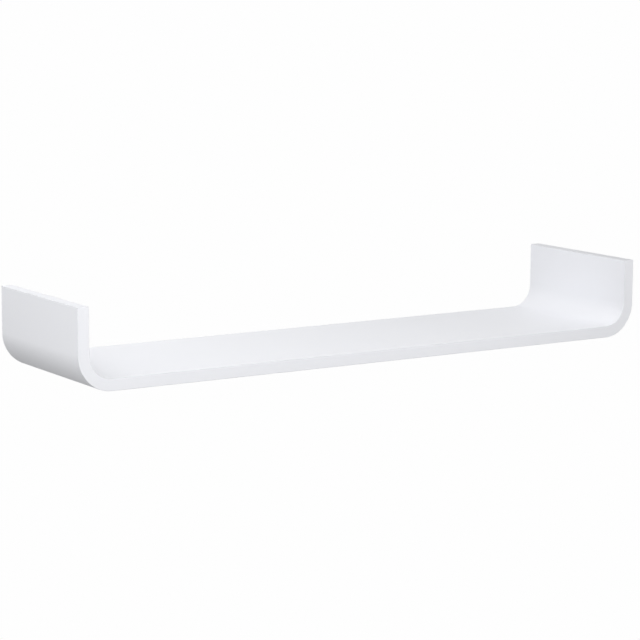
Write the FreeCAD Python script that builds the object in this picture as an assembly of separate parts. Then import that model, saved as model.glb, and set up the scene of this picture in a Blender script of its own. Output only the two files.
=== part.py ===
import FreeCAD, Part
import math
import os

# A white floating wall shelf: a flat board whose two ends turn up in round bends into short uprights.
# Millimetres. X runs along the shelf, Y from the room to the wall, Z up.
# The origin is the middle of the base panel's rear edge, which lies against the wall.

# The board, which has one thickness all the way round
LENGTH = 900.0
DEPTH = 220.0
HEIGHT = 110.0
THICKNESS = 16.0
INSIDE_RADIUS = 32.0
ARRIS_RADIUS = 0.6

# The dowelled joint between the base panel and the straight leg of an end shell
DOWELS_PER_JOINT = 4
DOWEL_DIAMETER = 8.0
DOWEL_LENGTH = 36.0
DOWEL_END_CHAMFER = 1.0
DOWEL_GLUE_GAP = 0.05
DOWEL_END_ROOM = 0.5
SOLID_LEG = 5.5

# The keyhole plate let into the rear edge of each upright, on which the shelf hangs
PLATE_LENGTH = 42.0
PLATE_THICKNESS = 1.8
PLATE_TOP_MARGIN = 10.0
PLATE_SET_BACK = 0.2
PLATE_GAP = 0.1
PLATE_EDGE_RADIUS = 0.3
RECESS_WALL = 2.1
POCKET_LEDGE = 1.0
POCKET_DEPTH = 7.0
ENTRY_RIM = 1.8
SLOT_LIP = 1.7
SLOT_RISE = 9.0

# The two countersunk wood screws that hold a keyhole plate
SCREW_DIAMETER = 3.0
SCREW_HEAD_DIAMETER = 5.6
SCREW_LENGTH = 16.0
SCREW_POINT = 3.0
SCREW_FROM_PLATE_END = 5.0
SCREW_GAP = 0.05
DRIVE_SPAN = 3.0
DRIVE_WIDTH = 0.8
DRIVE_DEPTH = 1.0

# What follows from the sizes above
HALF_LENGTH = LENGTH / 2
HALF_THICKNESS = THICKNESS / 2
OUTSIDE_RADIUS = INSIDE_RADIUS + THICKNESS
BEND_X = HALF_LENGTH - OUTSIDE_RADIUS
BEND_Z = INSIDE_RADIUS + HALF_THICKNESS
TOP_Z = HEIGHT - HALF_THICKNESS
DOWEL_RADIUS = DOWEL_DIAMETER / 2
DOWEL_HOLE_DEPTH = DOWEL_LENGTH / 2 + DOWEL_END_ROOM
SEAM_X = BEND_X - SOLID_LEG - DOWEL_HOLE_DEPTH
PLATE_X = HALF_LENGTH - HALF_THICKNESS
PLATE_Z = TOP_Z - PLATE_TOP_MARGIN - PLATE_LENGTH / 2
PLATE_WIDTH = THICKNESS - 2 * (RECESS_WALL + PLATE_GAP)
RECESS_DEPTH = PLATE_SET_BACK + PLATE_THICKNESS
POCKET_WIDTH = PLATE_WIDTH - 2 * POCKET_LEDGE
ENTRY_RADIUS = PLATE_WIDTH / 2 - ENTRY_RIM
SLOT_WIDTH = 2 * (ENTRY_RADIUS - SLOT_LIP)
SCREW_REACH = PLATE_LENGTH / 2 - SCREW_FROM_PLATE_END

LEFT = -1
RIGHT = 1
TO_RIGHT = FreeCAD.Vector(1, 0, 0)
TO_FRONT = FreeCAD.Vector(0, -1, 0)
UP = FreeCAD.Vector(0, 0, 1)
SMALL = 1e-4


def line(start, end):
    return Part.LineSegment(start, end).toShape()


def arc(start, middle, end):
    return Part.Arc(start, middle, end).toShape()


def turned(start, direction, profile):
    """Solid turned about an axis: profile gives (distance along the axis, radius), from axis to axis."""
    corners = [start + direction * distance + UP * radius for distance, radius in profile]
    outline = Part.makePolygon(corners + corners[:1])
    return Part.Face(outline).revolve(start, direction, 360)


def round_ended(width, x, lower_z, upper_z, rear_y, depth):
    """Upright bar with round ends, from rear_y towards the front; the ends turn about lower_z and upper_z."""
    radius = width / 2
    lower = FreeCAD.Vector(x, rear_y, lower_z)
    upper = FreeCAD.Vector(x, rear_y, upper_z)
    across = TO_RIGHT * radius
    outline = Part.Wire([
        line(lower + across, upper + across),
        arc(upper + across, upper + UP * radius, upper - across),
        line(upper - across, lower - across),
        arc(lower - across, lower - UP * radius, lower + across),
    ])
    return Part.Face(outline).extrude(TO_FRONT * depth)


def dowel_centres(side):
    """Centres of one joint's dowels, in the seam and halfway through the board, evenly along its depth."""
    pitch = DEPTH / DOWELS_PER_JOINT
    return [FreeCAD.Vector(side * SEAM_X, -pitch * (index + 0.5), 0) for index in range(DOWELS_PER_JOINT)]


def dowel(centre):
    """A round dowel along X with chamfered ends."""
    end_radius = DOWEL_RADIUS - DOWEL_END_CHAMFER
    profile = [
        (0, 0),
        (0, end_radius),
        (DOWEL_END_CHAMFER, DOWEL_RADIUS),
        (DOWEL_LENGTH - DOWEL_END_CHAMFER, DOWEL_RADIUS),
        (DOWEL_LENGTH, end_radius),
        (DOWEL_LENGTH, 0),
    ]
    return turned(centre - TO_RIGHT * DOWEL_LENGTH / 2, TO_RIGHT, profile)


def dowel_holes(side):
    """The holes of one joint, drilled equally far into both pieces."""
    start = TO_RIGHT * DOWEL_HOLE_DEPTH
    radius = DOWEL_RADIUS + DOWEL_GLUE_GAP
    holes = [Part.makeCylinder(radius, 2 * DOWEL_HOLE_DEPTH, centre - start, TO_RIGHT)
             for centre in dowel_centres(side)]
    return Part.makeCompound(holes)


def base_panel():
    """The flat run of the board, with its four long arrises rounded."""
    corner = FreeCAD.Vector(-SEAM_X, -DEPTH, -HALF_THICKNESS)
    blank = Part.makeBox(2 * SEAM_X, DEPTH, THICKNESS, corner)
    arrises = [edge for edge in blank.Edges if edge.BoundBox.XLength > SMALL]
    panel = blank.makeFillet(ARRIS_RADIUS, arrises)
    return panel.cut(dowel_holes(LEFT)).cut(dowel_holes(RIGHT))


def shell_outline(side):
    """An end shell seen along Y: the leg, the bend and the upright, first outside and then inside."""
    def corner(x, z):
        return FreeCAD.Vector(side * x, 0, z)

    def on_bend(radius, degrees):
        turn = math.radians(degrees)
        return corner(BEND_X + radius * math.sin(turn), BEND_Z - radius * math.cos(turn))

    def bend(radius, first, last):
        middle = (first + last) / 2
        return arc(on_bend(radius, first), on_bend(radius, middle), on_bend(radius, last))

    inside_x = HALF_LENGTH - THICKNESS
    return Part.Wire([
        line(corner(SEAM_X, -HALF_THICKNESS), on_bend(OUTSIDE_RADIUS, 0)),
        bend(OUTSIDE_RADIUS, 0, 90),
        line(on_bend(OUTSIDE_RADIUS, 90), corner(HALF_LENGTH, TOP_Z)),
        line(corner(HALF_LENGTH, TOP_Z), corner(inside_x, TOP_Z)),
        line(corner(inside_x, TOP_Z), on_bend(INSIDE_RADIUS, 90)),
        bend(INSIDE_RADIUS, 90, 0),
        line(on_bend(INSIDE_RADIUS, 0), corner(SEAM_X, HALF_THICKNESS)),
        line(corner(SEAM_X, HALF_THICKNESS), corner(SEAM_X, -HALF_THICKNESS)),
    ])


def is_arris(edge, side):
    """True for edges of the front, rear and top faces, which are rounded, but not for those at the seam."""
    box = edge.BoundBox
    at_seam = box.XLength < SMALL and abs(box.XMin - side * SEAM_X) < SMALL
    along_front_or_rear = box.YLength < SMALL
    along_top = box.ZMin > TOP_Z - SMALL
    return not at_seam and (along_front_or_rear or along_top)


def screw_blank(x, z, gap):
    """A countersunk screw without its drive, standing in the rear face of a plate; gap makes its hole."""
    head = SCREW_HEAD_DIAMETER / 2
    shank = SCREW_DIAMETER / 2
    profile = [
        (0, 0),
        (0, head + gap),
        (head - shank, shank + gap),
        (SCREW_LENGTH - SCREW_POINT, shank + gap),
        (SCREW_LENGTH + gap, 0),
    ]
    return turned(FreeCAD.Vector(x, -PLATE_SET_BACK, z), TO_FRONT, profile)


def screw_heights():
    return [PLATE_Z - SCREW_REACH, PLATE_Z + SCREW_REACH]


def screw_holes(side):
    return Part.makeCompound([screw_blank(side * PLATE_X, z, SCREW_GAP) for z in screw_heights()])


def keyhole(width, side, rear_y, depth):
    """The path of the wall screw, from the entry up to where the shelf rests on it."""
    lower_z = PLATE_Z - SLOT_RISE / 2
    return round_ended(width, side * PLATE_X, lower_z, lower_z + SLOT_RISE, rear_y, depth)


def plate_bar(width, length, side, rear_y, depth):
    """A round-ended bar in the place of a keyhole plate."""
    reach = (length - width) / 2
    return round_ended(width, side * PLATE_X, PLATE_Z - reach, PLATE_Z + reach, rear_y, depth)


def end_shell(side):
    """Bend and upright in one, with the leg that meets the base panel and the recess for a keyhole plate."""
    blank = Part.Face(shell_outline(side)).extrude(TO_FRONT * DEPTH)
    rounded = blank.makeFillet(ARRIS_RADIUS, [edge for edge in blank.Edges if is_arris(edge, side)])
    room = 2 * PLATE_GAP
    recess = plate_bar(PLATE_WIDTH + room, PLATE_LENGTH + room, side, 0, RECESS_DEPTH)
    pocket = keyhole(POCKET_WIDTH, side, 0, RECESS_DEPTH + POCKET_DEPTH)
    return rounded.cut(dowel_holes(side)).cut(recess).cut(pocket).cut(screw_holes(side))


def keyhole_plate(side):
    """Round-ended steel plate with a keyhole and two countersunk holes, its rear edge eased."""
    rear_y = -PLATE_SET_BACK
    bar = plate_bar(PLATE_WIDTH, PLATE_LENGTH, side, rear_y, PLATE_THICKNESS)
    rear_edges = [edge for edge in bar.Edges if edge.BoundBox.YMin > rear_y - SMALL]
    eased = bar.makeFillet(PLATE_EDGE_RADIUS, rear_edges)
    centre = FreeCAD.Vector(side * PLATE_X, rear_y, PLATE_Z - SLOT_RISE / 2)
    entry = Part.makeCylinder(ENTRY_RADIUS, PLATE_THICKNESS, centre, TO_FRONT)
    slot = keyhole(SLOT_WIDTH, side, rear_y, PLATE_THICKNESS)
    return eased.cut(entry).cut(slot).cut(screw_holes(side))


def plate_screw(x, z):
    """A screw with a cross drive in its head."""
    drive = None
    for span_x, span_z in ((DRIVE_SPAN, DRIVE_WIDTH), (DRIVE_WIDTH, DRIVE_SPAN)):
        corner = FreeCAD.Vector(x - span_x / 2, -PLATE_SET_BACK - DRIVE_DEPTH, z - span_z / 2)
        bar = Part.makeBox(span_x, DRIVE_DEPTH, span_z, corner)
        drive = bar if drive is None else drive.fuse(bar)
    return screw_blank(x, z, 0).cut(drive)


def save(node, shape):
    shape.exportStep("parts/" + node + ".step")


def main():
    os.makedirs("parts", exist_ok=True)
    save("base_panel", base_panel())
    for name, side in (("left", LEFT), ("right", RIGHT)):
        screws = [plate_screw(side * PLATE_X, z) for z in screw_heights()]
        save(name + "_end_shell", end_shell(side))
        save(name + "_joint_dowels", Part.makeCompound([dowel(centre) for centre in dowel_centres(side)]))
        save(name + "_keyhole_plate", keyhole_plate(side))
        save(name + "_plate_screws", Part.makeCompound(screws))


main()
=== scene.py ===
"""A white floating wall shelf: a flat board whose two ends turn up in round bends into low uprights.

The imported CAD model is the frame. The three boards are drawn again as fine surfaces with their glue faces,
dowel holes and hanger recesses, the dowels get their flutes and the screws their threads. The steel keyhole
plates keep their CAD shape and get a better finish. Metres: X along the shelf, Y to the wall, Z up.
"""

import math

import bmesh
import bpy
import numpy as np
from bpy.props import FloatProperty, FloatVectorProperty, IntProperty, PointerProperty
from bpy.types import NodeSocket, Operator, Panel, PropertyGroup
from mathutils import Matrix, Vector


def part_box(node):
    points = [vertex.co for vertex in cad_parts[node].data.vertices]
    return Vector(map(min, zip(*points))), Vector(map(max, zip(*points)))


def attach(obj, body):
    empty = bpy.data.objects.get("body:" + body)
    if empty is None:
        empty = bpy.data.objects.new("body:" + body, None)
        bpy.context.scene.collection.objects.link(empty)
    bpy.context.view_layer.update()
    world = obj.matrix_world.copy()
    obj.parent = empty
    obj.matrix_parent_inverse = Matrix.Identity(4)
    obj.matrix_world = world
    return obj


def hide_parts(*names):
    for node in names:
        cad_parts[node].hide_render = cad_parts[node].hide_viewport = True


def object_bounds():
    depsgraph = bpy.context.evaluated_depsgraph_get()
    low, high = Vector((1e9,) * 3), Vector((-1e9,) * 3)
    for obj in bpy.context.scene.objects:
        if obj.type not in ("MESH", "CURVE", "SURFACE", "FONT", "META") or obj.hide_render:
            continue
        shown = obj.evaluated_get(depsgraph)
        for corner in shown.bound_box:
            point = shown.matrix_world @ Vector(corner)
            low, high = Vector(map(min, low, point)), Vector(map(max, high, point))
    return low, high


bl_info = {
    "name": "Floating wall shelf",
    "version": (1, 0, 0),
    "blender": (4, 5, 0),
    "location": "3D View > Sidebar > Shelf",
    "description": "White lacquered wall shelf with upturned ends, hung on hidden keyhole plates",
    "category": "Object",
}

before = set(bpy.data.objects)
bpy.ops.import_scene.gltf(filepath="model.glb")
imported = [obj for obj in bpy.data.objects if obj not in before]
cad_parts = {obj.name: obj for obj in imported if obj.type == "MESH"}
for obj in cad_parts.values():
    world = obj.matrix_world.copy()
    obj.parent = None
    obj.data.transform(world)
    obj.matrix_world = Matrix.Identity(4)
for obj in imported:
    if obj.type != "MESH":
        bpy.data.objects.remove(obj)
CAD_LOW, CAD_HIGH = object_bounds()
PANEL_LOW, PANEL_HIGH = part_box("base_panel")
DOWELS_LOW, DOWELS_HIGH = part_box("right_joint_dowels")
PLATE_LOW, PLATE_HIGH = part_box("right_keyhole_plate")
SCREWS_LOW, SCREWS_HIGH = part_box("right_plate_screws")

MM = 0.001
BODY = "root"
QUARTER = math.pi / 2
WHOLE_TURN = 4 * QUARTER
TO_WALL = np.array([0.0, 1.0, 0.0])
TO_FRONT = np.array([0.0, -1.0, 0.0])
SIDES = (("left", -1), ("right", 1))

# Steps of the grids
CELL_STEPS = 12  # along one dowel's share of the depth
ACROSS_STEPS = 8  # across the board's edge
CORNER_STEPS = 6  # round an arris, and along a dowel's chamfer
PANEL_STEPS = 36  # along the panel
LEG_STEPS = 4  # along a shell's leg
BEND_STEPS = 48  # round a bend
UPRIGHT_STEPS = (2, 8, 10, 8, 2)  # below the recess, along its three cells, and above it
FLUTE_STEPS = 8  # round one flute of a dowel
TURN_STEPS = 48  # round a screw
THREAD_STEPS = 10  # along one turn of its thread
RECESS_MARGIN = 4.9 * MM  # how far the rim that is drawn in to a recess lies above and below it

# What the CAD source holds and the frame's boxes do not show
HOLE_GAP = 0.05 * MM  # room round a dowel or a screw in its hole
DOWEL_END_ROOM = 0.5 * MM  # room for glue at the end of a dowel
DOWEL_CHAMFER = 1.0 * MM  # at both ends of a dowel
RECESS_GAP = 0.1 * MM  # room round a keyhole plate in its recess
POCKET_LEDGE = 1.0 * MM  # rest for the plate's edge, round the pocket behind the keyhole
POCKET_DEPTH = 7.0 * MM  # below the floor of the recess
SLOT_RISE = 9.0 * MM  # from the keyhole's entry up to the end of its slot
SCREW_POINT = 3.0 * MM  # length of the tapered point
DRIVE_SPAN = 3.0 * MM  # across the drive's cross
DRIVE_WIDTH = 0.8 * MM  # of the cross's bars
DRIVE_DEPTH = 1.0 * MM  # of the drive below the head's face

# The finer shape of a screw, which only this scene has
DRIVE_FLOOR = 0.45  # size of the cross at the drive's floor, as a share of its outline
DRIVE_WALL = 0.96  # the same just under the drive's lip
DRIVE_MOUTH = 1.02  # the same round its lip
DRIVE_LIP = 0.05 * MM  # depth of the lip
THREAD_WIDTH = 0.6  # of the thread's ridge, as a share of the pitch
# Depth and inset of the points round the head's rim
HEAD_RIM = ((0, 0.20 * MM), (0.04 * MM, 0.10 * MM), (0.12 * MM, 0.13 * MM))

# Which of its piece's finishes a patch has: that of the outside, or that of the raw cuts
OUTSIDE = 0
CUT = 1

# Points nearer than this are one point, and edges sharper than this stay sharp
WELD = 0.001 * MM
SHARP = math.radians(35)


def linear(code):
    """sRGB hex colour as the linear colour that Blender mixes."""
    share = np.array([int(code[at:at + 2], 16) for at in (1, 3, 5)]) / 255
    return tuple(np.where(share <= 0.04045, share / 12.92, ((share + 0.055) / 1.055) ** 2.4).tolist())


def metres(name, description, default):
    """A length property in metres."""
    return FloatProperty(name=name, description=description, default=default, min=0.0, unit="LENGTH",
                         precision=5)


def power(name, description, default):
    """A light's power in watts."""
    return FloatProperty(name=name, description=description, default=default, min=0.0, unit="POWER")


def brightness(name, description, default):
    """A brightness of the surroundings, with 1 for white."""
    return FloatProperty(name=name, description=description, default=default, min=0.0)


def colour(name, description, code):
    """A colour property that starts from an sRGB hex value."""
    return FloatVectorProperty(name=name, description=description, default=linear(code), min=0.0, max=1.0,
                               size=3, subtype="COLOR")


class ShelfBoard(PropertyGroup):
    """Sizes and colours of the board."""

    length: metres("Length", "From one upright's outside to the other's", CAD_HIGH.x - CAD_LOW.x)
    depth: metres("Depth", "From the wall to the front edge", CAD_HIGH.y - CAD_LOW.y)
    height: metres("Height", "From the underside to the top of the uprights", CAD_HIGH.z - CAD_LOW.z)
    thickness: metres("Thickness", "Thickness of the board all the way round", PANEL_HIGH.z - PANEL_LOW.z)
    panel_length: metres("Panel length", "Flat panel between the two glue joints", PANEL_HIGH.x - PANEL_LOW.x)
    inside_radius: metres("Inside radius", "Radius of the bends on their inside", 32 * MM)
    arris_radius: metres("Arris radius", "Rounding of the long edges and of the uprights' tops", 0.6 * MM)
    lacquer: colour("Lacquer", "Colour of the sprayed lacquer", "#EEEFF3")
    core: colour("Core", "Colour of the plywood under the lacquer", "#E4CFA9")


class ShelfFixings(PropertyGroup):
    """Sizes and colours of the dowels, keyhole plates and screws."""

    dowels_per_joint: IntProperty(name="Dowels per joint", description="Dowels across one joint",
                                  default=4, min=1)
    dowel_diameter: metres("Dowel diameter", "Over the flutes", DOWELS_HIGH.z - DOWELS_LOW.z)
    dowel_length: metres("Dowel length", "Half of it sits in each piece", DOWELS_HIGH.x - DOWELS_LOW.x)
    flutes: IntProperty(name="Flutes", description="Glue grooves round a dowel", default=20, min=3)
    flute_depth: metres("Flute depth", "Depth of a dowel's glue grooves", 0.3 * MM)
    plate_length: metres("Plate length", "Height of a keyhole plate", PLATE_HIGH.z - PLATE_LOW.z)
    plate_width: metres("Plate width", "Width of a keyhole plate", PLATE_HIGH.x - PLATE_LOW.x)
    plate_thickness: metres("Plate thickness", "Sheet that the plate is pressed from",
                            PLATE_HIGH.y - PLATE_LOW.y)
    plate_set_back: metres("Plate set back", "From the wall to the plate", -PLATE_HIGH.y)
    head_diameter: metres("Screw head", "Diameter of the countersunk head", 5.6 * MM)
    screw_diameter: metres("Screw diameter", "Over the thread", 3.0 * MM)
    screw_core: metres("Screw core", "Under the thread", 1.9 * MM)
    screw_length: metres("Screw length", "From the head's face to the point", SCREWS_HIGH.y - SCREWS_LOW.y)
    thread_pitch: metres("Thread pitch", "Rise of the thread in one turn", 1.35 * MM)
    plate_steel: colour("Plate steel", "Colour of the zinc plated plates", "#C3C6CB")
    screw_steel: colour("Screw steel", "Colour of the zinc plated screws", "#B9BEC6")
    beech: colour("Beech", "Colour of the dowels", "#D6AE80")


class ShelfStudio(PropertyGroup):
    """The floor, the lights and the lens of the picture."""

    floor_drop: metres("Floor drop", "From the shelf's underside down to the floor", 1.3)
    floor: colour("Floor", "Colour of the floor and of what is behind the shelf", "#FEFEFE")
    floor_mirrored: brightness("Mirrored floor", "Brightness of the floor as the shelf mirrors it", 0.45)
    sky_level: brightness("Light at eye level", "Brightness of the surroundings at the horizon", 0.04)
    sky_poles: brightness("Light above and below", "Brightness straight above and below", 0.671)
    key_power: power("Key softbox", "In front, to the left", 7.29)
    front_power: power("Front softbox", "In front, a little to the right", 9.05)
    side_power: power("Side softbox", "At the left end", 2.53)
    high_power: power("High softbox", "High up, behind the left end", 7.34)
    sheen_power: power("Sheen softbox", "Behind the shelf, mirrored in its flat faces", 1.66)
    rear_power: power("Rear softbox", "Low behind the shelf, for the rear edges", 13.0)
    end_power: power("End softbox", "Low at the right end, for the side that faces away", 17.0)
    lens: FloatProperty(name="Lens", description="Focal length of the camera", default=129.37, min=1,
                        unit="CAMERA")


# Grids of points


def rim_of(block):
    """Points round the edge of a block of grid points, in order and each once."""
    return np.concatenate([block[0, :-1], block[:-1, -1], block[-1, :0:-1], block[:0:-1, 0]])


def drawn_in(rim, low, high, into, profile, stretch=(1, 1, 1)):
    """Rows of points inside a rim. Each rim point looks at the nearest point of the line from low to high,
    and row k lies at radius r_k from that point and at depth d_k along into; profile lists (d_k, r_k).
    Stretch scales the look first, so that a long rim still meets a round hole at even angles."""
    line = high - low
    share = np.clip((rim - low) @ line / max(line @ line, WELD ** 2), 0, 1)
    nearest = low + share[:, None] * line
    look = (rim - nearest) * stretch
    look /= np.maximum(np.linalg.norm(look, axis=1, keepdims=True), WELD)
    depth, radius = np.array(profile, float).T
    return nearest + look * radius[:, None, None] + into * depth[:, None, None]


def depth_stations(board, fixings):
    """Y of the grid lines along the depth, from the wall to the front: equally many for each dowel."""
    count = fixings.dowels_per_joint
    knots = -board.depth * np.arange(count + 1) / count
    knots[0] -= board.arris_radius
    knots[-1] += board.arris_radius
    return np.interp(np.arange(count * CELL_STEPS + 1) / CELL_STEPS, np.arange(count + 1), knots)


def dowel_centres(board, fixings):
    """Y of the dowels of a joint, each in the middle of its share of the depth."""
    count = fixings.dowels_per_joint
    return -board.depth * (np.arange(count) + 0.5) / count


def board_section(board, fixings):
    """Round-cornered section of the board, as (core, normal): its points are core + corner radius * normal.
    The core is a rectangle one corner radius inside. Along a side the core point moves and the normal stays;
    round a corner the core point stays and the normal turns by a quarter. Starts at the rear edge."""
    half = board.thickness / 2 - board.arris_radius
    along = depth_stations(board, fixings)
    across = np.linspace(-half, half, ACROSS_STEPS + 1)
    turn = np.linspace(0, QUARTER, CORNER_STEPS + 1)[1:-1]
    sides = (
        (np.full_like(across, along[0]), across),
        (along, np.full_like(along, half)),
        (np.full_like(across, along[-1]), across[::-1]),
        (along[::-1], np.full_like(along, -half)),
    )
    core = []
    angle = []
    for quarter, (y, through) in enumerate(sides):
        side = np.stack([y, through], axis=1)
        core += [side, np.repeat(side[-1:], len(turn), axis=0)]
        angle += [np.zeros(len(side)) + quarter * QUARTER, turn + quarter * QUARTER]
    angle = np.concatenate(angle)
    return np.concatenate(core), np.stack([np.cos(angle), np.sin(angle)], axis=1)


def bend_place(board):
    """Radius of a bend halfway through the board, and X of the right bend's axis."""
    middle_radius = board.inside_radius + board.thickness / 2
    return middle_radius, board.length / 2 - board.thickness / 2 - middle_radius


def carried(section, centre, lean, rim):
    """The section carried along a path. At each station its own Y stays Y, its second direction, through
    the board, follows lean, and its corners have that station's radius rim, which shrinks where the end is
    rounded."""
    core, normal = section
    plane = core + rim[:, None, None] * normal
    return centre[:, None] + plane[..., 1:] * lean[:, None] + plane[..., :1] * TO_WALL


def seam_face(board, fixings, x, into):
    """Glue face across the board at x, with a dowel hole in each of its cells, as patches. A narrow strip
    fills each rounded end of the section. Between them the rim of each rectangular cell is drawn in to its
    hole."""
    core, normal = board_section(board, fixings)
    along = depth_stations(board, fixings)
    points = core + board.arris_radius * normal
    # The rounded rear end of the section: an arris, the edge and an arris; the front end mirrors it
    rear = np.roll(points, CORNER_STEPS, axis=0)[:2 * CORNER_STEPS + ACROSS_STEPS + 1]
    front = rear * (-1, 1) - (board.depth, 0)
    pitch = board.depth / fixings.dowels_per_joint
    hole = fixings.dowel_diameter / 2 + HOLE_GAP
    hole_depth = fixings.dowel_length / 2 + DOWEL_END_ROOM
    even_out = (1, 2 / pitch, 2 / board.thickness)

    def at_seam(plane):
        return np.concatenate([np.full_like(plane[..., :1], x), plane], axis=-1)

    patches = []
    for end, inner_y in ((rear, along[0]), (front, along[-1])):
        inner = np.stack([np.full_like(end[:, 1], inner_y), end[:, 1]], axis=1)
        patches.append((at_seam(np.stack([end, inner])), False, CUT))
    for cell, centre_y in enumerate(dowel_centres(board, fixings)):
        y = along[cell * CELL_STEPS:(cell + 1) * CELL_STEPS + 1]
        rim = at_seam(rim_of(np.stack(np.meshgrid(y, rear[:, 1]), axis=-1)))
        centre = np.array([x, centre_y, 0])
        profile = [(0, hole), (hole_depth, hole), (hole_depth, 0)]
        rows = drawn_in(rim, centre, centre, np.array([into, 0, 0]), profile, even_out)
        patches.append((np.concatenate([rim[None], rows]), True, CUT))
    return patches


def panel_patches(board, fixings):
    """The flat panel: the board's section carried straight along X, with a glue face at each end."""
    seam = board.panel_length / 2
    x = np.linspace(-seam, seam, PANEL_STEPS + 1)
    centre = np.stack([x, 0 * x, 0 * x], axis=1)
    lean = np.tile([0.0, 0.0, 1.0], (len(x), 1))
    run = carried(board_section(board, fixings), centre, lean, np.full_like(x, board.arris_radius))
    return [(run, True, OUTSIDE)] + seam_face(board, fixings, -seam, 1) + seam_face(board, fixings, seam, -1)


def hanger_heights(fixings):
    """Z of a keyhole plate's middle and of its two screws."""
    middle = (PLATE_LOW.z + PLATE_HIGH.z) / 2
    reach = (SCREWS_HIGH.z - SCREWS_LOW.z - fixings.head_diameter) / 2
    return middle, (middle - reach, middle + reach)


def shell_patches(board, fixings):
    """The right end shell: the board's section carried along the leg, round the bend and up the upright.
    At the top the section's corners shrink from r to r cos a while it rises by r sin a, which rounds the
    end. The rear strip of the upright is left open for the recess, whose round-ended outline is drawn in
    from it."""
    r = board.arris_radius
    middle_radius, bend_x = bend_place(board)
    top = board.height - board.thickness / 2
    plate_z, screw_z = hanger_heights(fixings)
    half_recess = fixings.plate_length / 2 + RECESS_GAP + RECESS_MARGIN
    # The middle cell of the recess's floor takes half of the plate's height
    half_cell = fixings.plate_length / 4
    knots = (middle_radius, plate_z - half_recess, plate_z - half_cell, plate_z + half_cell,
             plate_z + half_recess, top - r)

    leg = np.linspace(board.panel_length / 2, bend_x, LEG_STEPS + 1)
    bend = np.linspace(0, QUARTER, BEND_STEPS + 1)[1:]
    rise = np.concatenate([np.linspace(low, high, steps + 1)[1:]
                           for low, high, steps in zip(knots, knots[1:], UPRIGHT_STEPS)])
    close = np.linspace(0, QUARTER, CORNER_STEPS + 1)[1:]
    angle = np.concatenate([0 * leg, bend, np.full(len(rise) + len(close), QUARTER)])
    x = bend_x + middle_radius * np.sin(angle)
    z = middle_radius * (1 - np.cos(angle))
    x[:len(leg)] = leg
    z[len(leg) + len(bend):] = np.concatenate([rise, top - r + r * np.sin(close)])
    rim = np.full_like(x, r)
    rim[-len(close):] = r * np.cos(close)
    centre = np.stack([x, 0 * x, z], axis=1)
    lean = np.stack([-np.sin(angle), 0 * x, np.cos(angle)], axis=1)
    section = board_section(board, fixings)
    run = carried(section, centre, lean, rim)

    along = depth_stations(board, fixings)
    across = x[-1] + section[0][:ACROSS_STEPS + 1, 1]
    y, over = np.meshgrid(along, across)
    lid = np.stack([over, y, np.full_like(y, top)], axis=-1)

    strip = run[:, :ACROSS_STEPS + 1]
    first, lower, upper, last = len(leg) + len(bend) - 1 + np.cumsum(UPRIGHT_STEPS)[:-1]
    patches = [
        (np.concatenate([run[:, ACROSS_STEPS:], run[:, :1]], axis=1), False, OUTSIDE),
        (strip[:first + 1], False, OUTSIDE),
        (strip[last:], False, OUTSIDE),
        (lid, False, OUTSIDE),
    ]
    cuts = (0, lower - first, upper - first, last - first)
    patches += recess_patches(fixings, strip[first:last + 1], cuts, x[-1], plate_z, screw_z)
    return patches + seam_face(board, fixings, leg[0], 1)


def recess_patches(fixings, block, cuts, x, plate_z, screw_z):
    """The recess for a keyhole plate, from the block of the upright's rear strip that surrounds it. Its
    floor is three cells, one above the other: the outer two are drawn in to a screw's pilot hole, the
    middle one to the pocket behind the keyhole."""
    radius = fixings.plate_width / 2 + RECESS_GAP
    reach = (fixings.plate_length - fixings.plate_width) / 2
    depth = fixings.plate_set_back + fixings.plate_thickness
    low = np.array([x, 0, plate_z - reach])
    high = np.array([x, 0, plate_z + reach])
    rim = rim_of(block)
    edge = drawn_in(rim, low, high, TO_FRONT, [(0, radius), (depth, radius)])

    sunk = drawn_in(block.reshape(-1, 3), low, high, TO_FRONT, [(depth, radius)])[0].reshape(block.shape)
    share = np.linspace(0, 1, ACROSS_STEPS + 1)[:, None]
    floor = sunk[:, :1] + (sunk[:, -1:] - sunk[:, :1]) * share
    floor[0] = sunk[0]
    floor[-1] = sunk[-1]

    pilot = fixings.screw_diameter / 2 + HOLE_GAP
    pilot_end = fixings.screw_length - fixings.plate_thickness
    pilot_profile = [(0, pilot), (pilot_end - SCREW_POINT, pilot), (pilot_end + HOLE_GAP, 0)]
    pocket = fixings.plate_width / 2 - POCKET_LEDGE
    pocket_profile = [(0, pocket), (POCKET_DEPTH, pocket), (POCKET_DEPTH, 0)]
    holes = (
        (screw_z[0], screw_z[0], pilot_profile),
        (plate_z - SLOT_RISE / 2, plate_z + SLOT_RISE / 2, pocket_profile),
        (screw_z[1], screw_z[1], pilot_profile),
    )
    patches = [(np.stack([rim, edge[0]]), True, OUTSIDE), (edge, True, CUT)]
    for start, end, (low_z, high_z, profile) in zip(cuts, cuts[1:], holes):
        cell = rim_of(floor[start:end + 1])
        rows = drawn_in(cell, np.array([x, -depth, low_z]), np.array([x, -depth, high_z]), TO_FRONT, profile)
        patches.append((np.concatenate([cell[None], rows]), True, CUT))
    return patches


def turned(depth, radius):
    """Points on a grid of depth along an axis and turn about it: depth, radius cos turn, radius sin turn."""
    turn = np.linspace(0, WHOLE_TURN, radius.shape[1], endpoint=False)
    return np.stack([depth + 0 * radius, radius * np.cos(turn), radius * np.sin(turn)], axis=-1)


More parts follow.
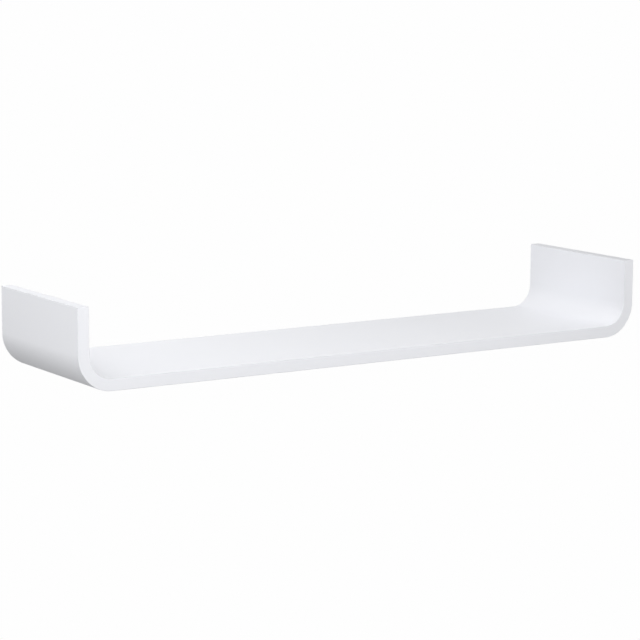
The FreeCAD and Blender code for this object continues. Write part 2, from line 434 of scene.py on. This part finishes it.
def dowel_patches(fixings, x, centres_y):
    """Fluted dowels along X. The radius is the lesser of a plain profile with chamfered ends and of
    R - flute depth * (1 + cos(flutes * turn)) / 2, so the flutes run out at the chamfers."""
    full = fixings.dowel_diameter / 2
    size = fixings.dowel_length
    turn = np.linspace(0, WHOLE_TURN, FLUTE_STEPS * fixings.flutes, endpoint=False)
    fluted = full - fixings.flute_depth * (1 + np.cos(fixings.flutes * turn)) / 2
    ends = np.linspace(0, DOWEL_CHAMFER, CORNER_STEPS + 1)
    along = np.concatenate([ends[:1], ends, size - ends[::-1], [size]])
    plain = full - np.maximum(0, DOWEL_CHAMFER - np.minimum(along, size - along))
    plain[0] = 0
    plain[-1] = 0
    dowel = turned(along[:, None] - size / 2, np.minimum(plain[:, None], fluted))
    return [(dowel + (x, y, 0), True, OUTSIDE) for y in centres_y]


def screw_patches(fixings, x, heights):
    """Countersunk wood screws pointing away from the wall. From the drive's floor outwards each row has one
    depth and a radius. The drive's outline is a cross in polar form, the larger of two bars
    min(a/|cos|, w/|sin|). Below the head the radius is core + (outside - core) * ridge, where ridge is a
    pointed wave of depth/pitch - turn, and both taper to nothing along the point."""
    head = fixings.head_diameter / 2
    outside = fixings.screw_diameter / 2
    neck = head - outside
    turn = np.linspace(0, WHOLE_TURN, TURN_STEPS, endpoint=False)
    cosine = np.maximum(np.abs(np.cos(turn)), WELD)
    sine = np.maximum(np.abs(np.sin(turn)), WELD)
    span = DRIVE_SPAN / 2
    width = DRIVE_WIDTH / 2
    cross = np.maximum(np.minimum(span / cosine, width / sine), np.minimum(width / cosine, span / sine))
    head_rows = [
        (DRIVE_DEPTH, 0 * cross),
        (DRIVE_DEPTH, DRIVE_FLOOR * cross),
        (DRIVE_LIP, DRIVE_WALL * cross),
        (0, DRIVE_MOUTH * cross),
    ]
    for depth, inset in (*HEAD_RIM, (neck, neck)):
        head_rows.append((depth, head - inset + 0 * cross))

    size = fixings.screw_length
    rows = int(THREAD_STEPS * (size - neck) / fixings.thread_pitch)
    along = np.linspace(neck, size, rows + 1)[1:, None]
    taper = np.clip((size - along) / SCREW_POINT, 0, 1)
    core = np.minimum(fixings.screw_core / 2, outside * taper) * np.sqrt(taper)
    phase = (along / fixings.thread_pitch - turn / WHOLE_TURN) % 1
    ridge = np.clip(1 - np.abs(2 * phase - 1) / THREAD_WIDTH, 0, 1)
    thread = core + (outside * taper - core) * ridge
    depth = np.concatenate([np.array([row[0] for row in head_rows])[:, None], along])
    radius = np.concatenate([np.stack([row[1] for row in head_rows]), thread])
    # The screw's axis goes from X to -Y
    screw = turned(depth, radius)[..., [1, 0, 2]] * (1, -1, 1)
    return [(screw + (x, -fixings.plate_set_back, z), True, OUTSIDE) for z in heights]


# Pieces


def make_piece(name, patches, materials, side=1):
    """Joins patches, which are (grid of points, closed across, finish), into one mesh. A closed grid joins
    its last column to its first, and side -1 mirrors a right-hand piece to the left. Equal points are
    merged, so that the patches close, and faces are turned outwards."""
    points = []
    faces = []
    slots = []
    total = 0
    for grid, closed, slot in patches:
        number = total + np.arange(grid.shape[0] * grid.shape[1]).reshape(grid.shape[:2])
        total += number.size
        if closed:
            number = np.hstack([number, number[:, :1]])
        quads = np.stack([number[:-1, :-1], number[:-1, 1:], number[1:, 1:], number[1:, :-1]], axis=-1)
        points.append(grid.reshape(-1, 3) * (side, 1, 1))
        faces.append(quads.reshape(-1, 4))
        slots.append(np.full(len(faces[-1]), slot))
    mesh = bpy.data.meshes.new(name)
    mesh.from_pydata(np.concatenate(points).tolist(), [], np.concatenate(faces).tolist())
    mesh.polygons.foreach_set("material_index", np.concatenate(slots).astype(np.int32))
    shape = bmesh.new()
    shape.from_mesh(mesh)
    bmesh.ops.remove_doubles(shape, verts=shape.verts, dist=WELD)
    bmesh.ops.dissolve_degenerate(shape, edges=shape.edges, dist=WELD)
    bmesh.ops.recalc_face_normals(shape, faces=shape.faces)
    shape.to_mesh(mesh)
    shape.free()
    mesh.shade_smooth()
    mesh.set_sharp_from_angle(angle=SHARP)
    for material in materials:
        mesh.materials.append(material)
    piece = bpy.data.objects.new(name, mesh)
    bpy.context.scene.collection.objects.link(piece)
    return piece


def finish_board(piece, board):
    """Keeps the shading of the flat faces flat up to their rounded edges, and stores two values at each
    point. The first is how deep in the board's thickness it lies: Z in the flat, and the middle radius less
    the distance from the bend's axis, or from the line above it, in a shell. The second is 1 on the arrises,
    where a point is less than the arris radius inside two outer faces at once, and 0 elsewhere."""
    modifier = piece.modifiers.new("flat_faces", "WEIGHTED_NORMAL")
    modifier.keep_sharp = True
    middle_radius, bend_x = bend_place(board)
    points = np.empty(len(piece.data.vertices) * 3, np.float32)
    piece.data.vertices.foreach_get("co", points)
    x, y, z = points.reshape(-1, 3).T
    away = np.hypot(np.maximum(np.abs(x) - bend_x, 0), np.minimum(z - middle_radius, 0))
    through = middle_radius - away
    inside = np.stack([
        board.thickness / 2 - np.abs(through),
        np.minimum(-y, y + board.depth),
        board.height - board.thickness / 2 - z,
    ])
    # Mask of the arrises, where the lacquer paints shade that holds down their highlight
    arris = (inside < board.arris_radius - WELD).sum(axis=0) >= 2
    for name, values in (("through_board", through), ("arris", arris)):
        attribute = piece.data.attributes.new(name, "FLOAT", "POINT")
        attribute.data.foreach_set("value", values.astype(np.float32))


# Materials

LACQUER = "polyurethane_lacquer_sprayed_satin_white"
PLYWOOD = "birch_plywood_milled_raw"
# How much a pattern is stretched: flecks of beech ten times as long as wide, along X; drawing marks that run
# up and down; and marks without a direction
FLECKS_ALONG = (0.1, 1.0, 1.0)
MARKS_UPRIGHT = (1.0, 1.0, 0.03)
MARKS_ALL_WAYS = (1.0, 1.0, 1.0)
# Sockets of a mix of colours, which share their names with other sockets: two colours in, one out
COLOUR_A = 6
COLOUR_B = 7
MIXED = 2


def add(tree, kind, inputs, **settings):
    """Adds a node with its settings; inputs gives each socket a value or the output that is linked to it."""
    node = tree.nodes.new(kind)
    for name, value in settings.items():
        setattr(node, name, value)
    for name, value in inputs.items():
        if isinstance(value, NodeSocket):
            tree.links.new(value, node.inputs[name])
        else:
            node.inputs[name].default_value = value
    return node


def new_material(name):
    """A material of that name with an empty node tree."""
    material = bpy.data.materials.new(name)
    material.use_nodes = True
    material.node_tree.nodes.clear()
    return material, material.node_tree


def shaded(rgb, share):
    """A colour made lighter or darker by a share, with full opacity."""
    return tuple(min(1.0, value * share) for value in rgb) + (1.0,)


def satin_white_lacquer(board):
    """Polyurethane lacquer, sprayed in several coats and left satin: an even white film with a slight cool
    cast. It shows broad, soft reflections, faint clouds of thicker and thinner spray and a fine orange peel.
    Its rounded arrises carry painted shade: they are coloured a little greyer than the faces, to hold down
    the highlight that the lights put on them."""
    material, tree = new_material(LACQUER)
    place = add(tree, "ShaderNodeTexCoord", {}).outputs["Object"]
    # Passes of the spray gun overlap about every 90 mm
    spray = add(tree, "ShaderNodeTexNoise", {"Vector": place, "Scale": 1 / (90 * MM), "Detail": 2.0})
    # Orange peel is about 1 mm across; drawn 3 mm across, because 1 mm is too fine to show
    peel = add(tree, "ShaderNodeTexNoise", {"Vector": place, "Scale": 1 / (3 * MM), "Detail": 1.0})
    sprayed = add(tree, "ShaderNodeMix", {
        "Factor": spray.outputs[0], COLOUR_A: shaded(board.lacquer, 0.992),
        COLOUR_B: shaded(board.lacquer, 1.008)}, data_type="RGBA")
    # Painted shade: the rounded arrises are coloured greyer, to hold down the highlight that the lights put
    # on them
    arris = add(tree, "ShaderNodeAttribute", {}, attribute_name="arris").outputs["Fac"]
    tone = add(tree, "ShaderNodeMix", {
        "Factor": arris, COLOUR_A: sprayed.outputs[MIXED],
        COLOUR_B: shaded(board.lacquer, 0.90)}, data_type="RGBA")
    gloss = add(tree, "ShaderNodeMapRange", {"Value": spray.outputs[0], "To Min": 0.43, "To Max": 0.49})
    bump = add(tree, "ShaderNodeBump", {"Height": peel.outputs[0], "Strength": 0.15, "Distance": 0.03 * MM})
    surface = add(tree, "ShaderNodeBsdfPrincipled", {
        "Base Color": tone.outputs[MIXED], "Roughness": gloss.outputs[0], "IOR": 1.5,
        "Normal": bump.outputs[0]})
    add(tree, "ShaderNodeOutputMaterial", {"Surface": surface.outputs[0]})
    return material


def milled_birch_plywood(board):
    """Birch plywood, cut and milled: matt pale plies with thin darker glue lines. Every second ply is cut
    across its fibres and looks darker, and short fibres speckle each ply."""
    material, tree = new_material(PLYWOOD)
    place = add(tree, "ShaderNodeTexCoord", {}).outputs["Object"]
    through = add(tree, "ShaderNodeAttribute", {}, attribute_name="through_board").outputs["Fac"]
    # Plies of 1.45 mm: 11 in a 16 mm board, with the middle one halfway through
    count = add(tree, "ShaderNodeMath", {0: through, 1: 1 / (1.45 * MM), 2: 0.5}, operation="MULTIPLY_ADD")
    pair = add(tree, "ShaderNodeMath", {0: count.outputs[0], 1: 2.0}, operation="FLOORED_MODULO")
    crossed = add(tree, "ShaderNodeMath", {0: pair.outputs[0], 1: 1.0}, operation="GREATER_THAN")
    edge = add(tree, "ShaderNodeMath", {0: count.outputs[0], 1: 0.5}, operation="PINGPONG")
    glue = add(tree, "ShaderNodeMapRange", {"Value": edge.outputs[0], "From Min": 0.0, "From Max": 0.08})
    # Fibres 0.6 mm across
    fibre = add(tree, "ShaderNodeTexNoise", {"Vector": place, "Scale": 1 / (0.6 * MM), "Detail": 3.0})
    long_cut = add(tree, "ShaderNodeMix", {
        "Factor": fibre.outputs[0], COLOUR_A: shaded(board.core, 0.88),
        COLOUR_B: shaded(board.core, 1.10)}, data_type="RGBA")
    end_cut = add(tree, "ShaderNodeMix", {
        "Factor": fibre.outputs[0], COLOUR_A: shaded(board.core, 0.62),
        COLOUR_B: shaded(board.core, 0.92)}, data_type="RGBA")
    wood = add(tree, "ShaderNodeMix", {
        "Factor": crossed.outputs[0], COLOUR_A: long_cut.outputs[MIXED],
        COLOUR_B: end_cut.outputs[MIXED]}, data_type="RGBA")
    tone = add(tree, "ShaderNodeMix", {
        "Factor": glue.outputs[0], COLOUR_A: shaded(board.core, 0.45),
        COLOUR_B: wood.outputs[MIXED]}, data_type="RGBA")
    bump = add(tree, "ShaderNodeBump", {"Height": fibre.outputs[0], "Strength": 0.4, "Distance": 0.1 * MM})
    surface = add(tree, "ShaderNodeBsdfPrincipled", {
        "Base Color": tone.outputs[MIXED], "Roughness": 0.8, "IOR": 1.45, "Normal": bump.outputs[0]})
    add(tree, "ShaderNodeOutputMaterial", {"Surface": surface.outputs[0]})
    return material


def turned_beech(fixings):
    """Beech, turned and fluted raw: pale pinkish brown with fine straight grain and short darker flecks."""
    material, tree = new_material("beech_turned_raw")
    place = add(tree, "ShaderNodeTexCoord", {}).outputs["Object"]
    # Grain runs along X: flecks 0.5 mm across and 5 mm long
    along = add(tree, "ShaderNodeMapping", {"Vector": place, "Scale": FLECKS_ALONG})
    grain = add(tree, "ShaderNodeTexNoise", {"Vector": along.outputs[0], "Scale": 1 / (0.5 * MM),
                                             "Detail": 3.0})
    fleck = add(tree, "ShaderNodeMapRange", {"Value": grain.outputs[0], "From Min": 0.55, "From Max": 0.75})
    tone = add(tree, "ShaderNodeMix", {
        "Factor": fleck.outputs[0], COLOUR_A: shaded(fixings.beech, 1.05),
        COLOUR_B: shaded(fixings.beech, 0.62)}, data_type="RGBA")
    bump = add(tree, "ShaderNodeBump", {"Height": grain.outputs[0], "Strength": 0.3, "Distance": 0.05 * MM})
    surface = add(tree, "ShaderNodeBsdfPrincipled", {
        "Base Color": tone.outputs[MIXED], "Roughness": 0.65, "IOR": 1.45, "Normal": bump.outputs[0]})
    add(tree, "ShaderNodeOutputMaterial", {"Surface": surface.outputs[0]})
    return material


def zinc_plated_steel(name, rgb, stretch):
    """Steel, bright zinc plated: a cool grey metal with soft reflections, fine drawing marks in the direction
    that stretch leaves long, and faint clouds where the plating is duller."""
    material, tree = new_material(name)
    place = add(tree, "ShaderNodeTexCoord", {}).outputs["Object"]
    # Drawing marks are about 0.05 mm apart; drawn 0.3 mm apart, because finer ones don't show
    long_way = add(tree, "ShaderNodeMapping", {"Vector": place, "Scale": stretch})
    marks = add(tree, "ShaderNodeTexNoise", {"Vector": long_way.outputs[0], "Scale": 1 / (0.3 * MM),
                                             "Detail": 2.0})
    # Clouds of plating 4 mm across
    cloud = add(tree, "ShaderNodeTexNoise", {"Vector": place, "Scale": 1 / (4 * MM), "Detail": 4.0})
    dull = add(tree, "ShaderNodeMapRange", {"Value": cloud.outputs[0], "From Min": 0.35, "From Max": 0.65})
    tone = add(tree, "ShaderNodeMix", {
        "Factor": dull.outputs[0], COLOUR_A: shaded(rgb, 1.06),
        COLOUR_B: shaded(rgb, 0.88)}, data_type="RGBA")
    gloss = add(tree, "ShaderNodeMapRange", {"Value": dull.outputs[0], "To Min": 0.28, "To Max": 0.44})
    bump = add(tree, "ShaderNodeBump", {"Height": marks.outputs[0], "Strength": 0.5, "Distance": 0.02 * MM})
    surface = add(tree, "ShaderNodeBsdfPrincipled", {
        "Base Color": tone.outputs[MIXED], "Metallic": 1.0, "Roughness": gloss.outputs[0],
        "Normal": bump.outputs[0]})
    add(tree, "ShaderNodeOutputMaterial", {"Surface": surface.outputs[0]})
    return material


def board_materials(board):
    """The board's two finishes, made once: lacquer outside, raw plywood in its cuts."""
    lacquer = bpy.data.materials.get(LACQUER) or satin_white_lacquer(board)
    plywood = bpy.data.materials.get(PLYWOOD) or milled_birch_plywood(board)
    return [lacquer, plywood]


# Operators


class SHELF_OT_base_panel(Operator):
    """Draws the flat panel of the shelf"""

    bl_idname = "shelf.base_panel"
    bl_label = "Base panel"

    def execute(self, context):
        board = context.scene.shelf_board
        piece = make_piece("base_panel_lacquered", panel_patches(board, context.scene.shelf_fixings),
                           board_materials(board))
        finish_board(piece, board)
        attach(piece, BODY)
        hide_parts("base_panel")
        return {"FINISHED"}


class SHELF_OT_end_shells(Operator):
    """Draws the two end shells, each a leg, a bend and an upright in one"""

    bl_idname = "shelf.end_shells"
    bl_label = "End shells"

    def execute(self, context):
        board = context.scene.shelf_board
        patches = shell_patches(board, context.scene.shelf_fixings)
        for name, side in SIDES:
            piece = make_piece(name + "_end_shell_lacquered", patches, board_materials(board), side)
            finish_board(piece, board)
            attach(piece, BODY)
            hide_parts(name + "_end_shell")
        return {"FINISHED"}


class SHELF_OT_joint_dowels(Operator):
    """Draws the fluted dowels of the two glue joints"""

    bl_idname = "shelf.joint_dowels"
    bl_label = "Joint dowels"

    def execute(self, context):
        board = context.scene.shelf_board
        fixings = context.scene.shelf_fixings
        beech = turned_beech(fixings)
        patches = dowel_patches(fixings, board.panel_length / 2, dowel_centres(board, fixings))
        for name, side in SIDES:
            piece = make_piece(name + "_joint_dowels_fluted", patches, [beech], side)
            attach(piece, BODY)
            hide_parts(name + "_joint_dowels")
        return {"FINISHED"}


class SHELF_OT_keyhole_plates(Operator):
    """Gives the two keyhole plates of the CAD model their zinc plated finish"""

    bl_idname = "shelf.keyhole_plates"
    bl_label = "Keyhole plates"

    def execute(self, context):
        steel = zinc_plated_steel("steel_pressed_zinc_plated", context.scene.shelf_fixings.plate_steel,
                                  MARKS_UPRIGHT)
        for name, _ in SIDES:
            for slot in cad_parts[name + "_keyhole_plate"].material_slots:
                slot.material = steel
        return {"FINISHED"}


class SHELF_OT_plate_screws(Operator):
    """Draws the countersunk screws of the keyhole plates"""

    bl_idname = "shelf.plate_screws"
    bl_label = "Plate screws"

    def execute(self, context):
        board = context.scene.shelf_board
        fixings = context.scene.shelf_fixings
        steel = zinc_plated_steel("steel_rolled_zinc_plated", fixings.screw_steel, MARKS_ALL_WAYS)
        _, heights = hanger_heights(fixings)
        patches = screw_patches(fixings, (board.length - board.thickness) / 2, heights)
        for name, side in SIDES:
            piece = make_piece(name + "_plate_screws_threaded", patches, [steel], side)
            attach(piece, BODY)
            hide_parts(name + "_plate_screws")
        return {"FINISHED"}


# The studio

FLOOR_REACH = 60.0  # half the floor's width, in metres
SKY_LIGHT = "#FFFFFF"
SKY_STEEPNESS = 1.6  # how late the light from all round brightens between eye level and the poles
AIM = Vector((0.0, -0.11, 0.03))  # what the softboxes face
# Softboxes: how far each is turned from straight in front of the shelf towards its right end, and how far
# raised, both in degrees; its distance from the aim and its width, both in metres; and whether it is mirrored
# in the lacquer, or gives no glare, as behind a polarising sheet
SOFTBOXES = {
    "key": (-40, 17, 1.45, 0.8, False),
    "front": (15, 26, 1.3, 0.9, False),
    "side": (-80, 8, 1.2, 0.8, False),
    "high": (-135, 38, 1.2, 0.8, False),
    "sheen": (150, 6, 0.9, 1.0, True),
    "rear": (180, -12, 2.4, 0.7, False),
    "end": (100, -14, 2.2, 0.7, False),
}
# Where the camera stands and how it is turned, found from the corners and edges in the picture, and the
# width of its sensor in millimetres
CAMERA_PLACE = (-1.73284, -2.74569, 0.53890)
CAMERA_YAW = math.radians(33.0192)
CAMERA_PITCH = math.radians(9.0805)
CAMERA_ROLL = math.radians(0.4101)
SENSOR = 36.0


def softbox(name, turn, rise, distance, width, glare, watts):
    """A square area light that faces the shelf; it lights the shelf but isn't seen itself."""
    lamp = bpy.data.lights.new(name, "AREA")
    lamp.size = width
    lamp.energy = watts
    light = bpy.data.objects.new(name, lamp)
    turn = math.radians(turn)
    rise = math.radians(rise)
    way = Vector((math.sin(turn) * math.cos(rise), -math.cos(turn) * math.cos(rise), math.sin(rise)))
    light.location = AIM + way * distance
    light.rotation_euler = way.to_track_quat("Z", "Y").to_euler()
    light.visible_camera = False
    light.visible_glossy = glare
    bpy.context.scene.collection.objects.link(light)


def studio_world(studio):
    """Soft light from all round: the brightness of a direction goes from that at eye level to that of the
    poles with its height, up or down, to the power of the steepness. What is seen of it is plain white."""
    world = bpy.data.worlds.new("studio")
    world.use_nodes = True
    tree = world.node_tree
    tree.nodes.clear()
    direction = add(tree, "ShaderNodeTexCoord", {}).outputs["Generated"]
    height = add(tree, "ShaderNodeSeparateXYZ", {"Vector": direction}).outputs["Z"]
    size = add(tree, "ShaderNodeMath", {0: height}, operation="ABSOLUTE")
    share = add(tree, "ShaderNodeMath", {0: size.outputs[0], 1: SKY_STEEPNESS}, operation="POWER")
    strength = add(tree, "ShaderNodeMix", {
        "Factor": share.outputs[0], "A": studio.sky_level, "B": studio.sky_poles})
    light = add(tree, "ShaderNodeBackground", {
        "Color": shaded(linear(SKY_LIGHT), 1.0), "Strength": strength.outputs[0]})
    seen = add(tree, "ShaderNodeBackground", {"Color": shaded(studio.floor, 1.0)})
    ray = add(tree, "ShaderNodeLightPath", {})
    mixed = add(tree, "ShaderNodeMixShader", {0: ray.outputs["Is Camera Ray"], 1: light.outputs[0],
                                              2: seen.outputs[0]})
    add(tree, "ShaderNodeOutputWorld", {"Surface": mixed.outputs[0]})
    return world


def studio_floor(studio, z):
    """A plain pale floor far below the shelf. It is seen from above, and the shelf mirrors it at a part of
    its brightness, but it throws no other light back at the shelf."""
    material, tree = new_material("plain_pale_floor")
    side = add(tree, "ShaderNodeNewGeometry", {})
    ray = add(tree, "ShaderNodeLightPath", {})
    glow = add(tree, "ShaderNodeMix", {
        "Factor": ray.outputs["Is Camera Ray"], "A": studio.floor_mirrored, "B": 1.0})
    pale = add(tree, "ShaderNodeEmission", {"Color": shaded(studio.floor, 1.0), "Strength": glow.outputs[0]})
    clear = add(tree, "ShaderNodeBsdfTransparent", {})
    mixed = add(tree, "ShaderNodeMixShader", {0: side.outputs["Backfacing"], 1: pale.outputs[0],
                                              2: clear.outputs[0]})
    add(tree, "ShaderNodeOutputMaterial", {"Surface": mixed.outputs[0]})
    mesh = bpy.data.meshes.new("floor")
    corners = [(x * FLOOR_REACH, y * FLOOR_REACH, z) for x, y in ((-1, -1), (1, -1), (1, 1), (-1, 1))]
    mesh.from_pydata(corners, [], [(0, 1, 2, 3)])
    mesh.materials.append(material)
    floor = bpy.data.objects.new("floor", mesh)
    floor.visible_diffuse = False
    floor.visible_shadow = False
    bpy.context.scene.collection.objects.link(floor)


def studio_camera(studio):
    """The camera. Yaw turns its look from the wall to +X, pitch lowers it, roll turns it about its look."""
    forward = math.cos(CAMERA_PITCH)
    look = Vector((forward * math.sin(CAMERA_YAW), forward * math.cos(CAMERA_YAW), -math.sin(CAMERA_PITCH)))
    level = Vector((math.cos(CAMERA_YAW), -math.sin(CAMERA_YAW), 0))
    upright = level.cross(look)
    right = math.cos(CAMERA_ROLL) * level + math.sin(CAMERA_ROLL) * upright
    up = math.cos(CAMERA_ROLL) * upright - math.sin(CAMERA_ROLL) * level
    turn = Matrix((right, up, -look)).transposed().to_4x4()
    data = bpy.data.cameras.new("camera")
    data.lens = studio.lens
    data.sensor_width = SENSOR
    data.sensor_fit = "HORIZONTAL"
    camera = bpy.data.objects.new("camera", data)
    camera.matrix_world = Matrix.Translation(CAMERA_PLACE) @ turn
    bpy.context.scene.collection.objects.link(camera)
    bpy.context.scene.camera = camera


class SHELF_OT_stage(Operator):
    """Sets up the floor, the soft light and the camera"""

    bl_idname = "shelf.stage"
    bl_label = "Stage"

    def execute(self, context):
        studio = context.scene.shelf_studio
        board = context.scene.shelf_board
        context.scene.view_settings.view_transform = "Standard"
        context.scene.world = studio_world(studio)
        studio_floor(studio, -board.thickness / 2 - studio.floor_drop)
        for name, place in SOFTBOXES.items():
            softbox(name, *place, getattr(studio, name + "_power"))
        studio_camera(studio)
        return {"FINISHED"}


STEPS = (
    SHELF_OT_base_panel,
    SHELF_OT_end_shells,
    SHELF_OT_joint_dowels,
    SHELF_OT_keyhole_plates,
    SHELF_OT_plate_screws,
    SHELF_OT_stage,
)


class SHELF_PT_sidebar(Panel):
    """Lists the shelf's sizes, colours and building steps"""

    bl_idname = "SHELF_PT_sidebar"
    bl_label = "Floating wall shelf"
    bl_space_type = "VIEW_3D"
    bl_region_type = "UI"
    bl_category = "Shelf"

    def draw(self, context):
        layout = self.layout
        for step in STEPS:
            layout.operator(step.bl_idname)
        for group in (context.scene.shelf_board, context.scene.shelf_fixings, context.scene.shelf_studio):
            column = layout.column()
            for name in group.bl_rna.properties.keys():
                if name not in ("rna_type", "name"):
                    column.prop(group, name)


GROUPS = {"shelf_board": ShelfBoard, "shelf_fixings": ShelfFixings, "shelf_studio": ShelfStudio}
CLASSES = (*GROUPS.values(), *STEPS, SHELF_PT_sidebar)


def register():
    """Makes the classes and the scene's settings known to Blender."""
    for cls in CLASSES:
        bpy.utils.register_class(cls)
    for name, group in GROUPS.items():
        setattr(bpy.types.Scene, name, PointerProperty(type=group))


def unregister():
    """Takes back what register made known."""
    for name in GROUPS:
        delattr(bpy.types.Scene, name)
    for cls in reversed(CLASSES):
        bpy.utils.unregister_class(cls)


def main():
    """Builds the pieces and the stage in order."""
    register()
    bpy.ops.shelf.base_panel()
    bpy.ops.shelf.end_shells()
    bpy.ops.shelf.joint_dowels()
    bpy.ops.shelf.keyhole_plates()
    bpy.ops.shelf.plate_screws()
    bpy.ops.shelf.stage()


if __name__ == "__main__":
    main()
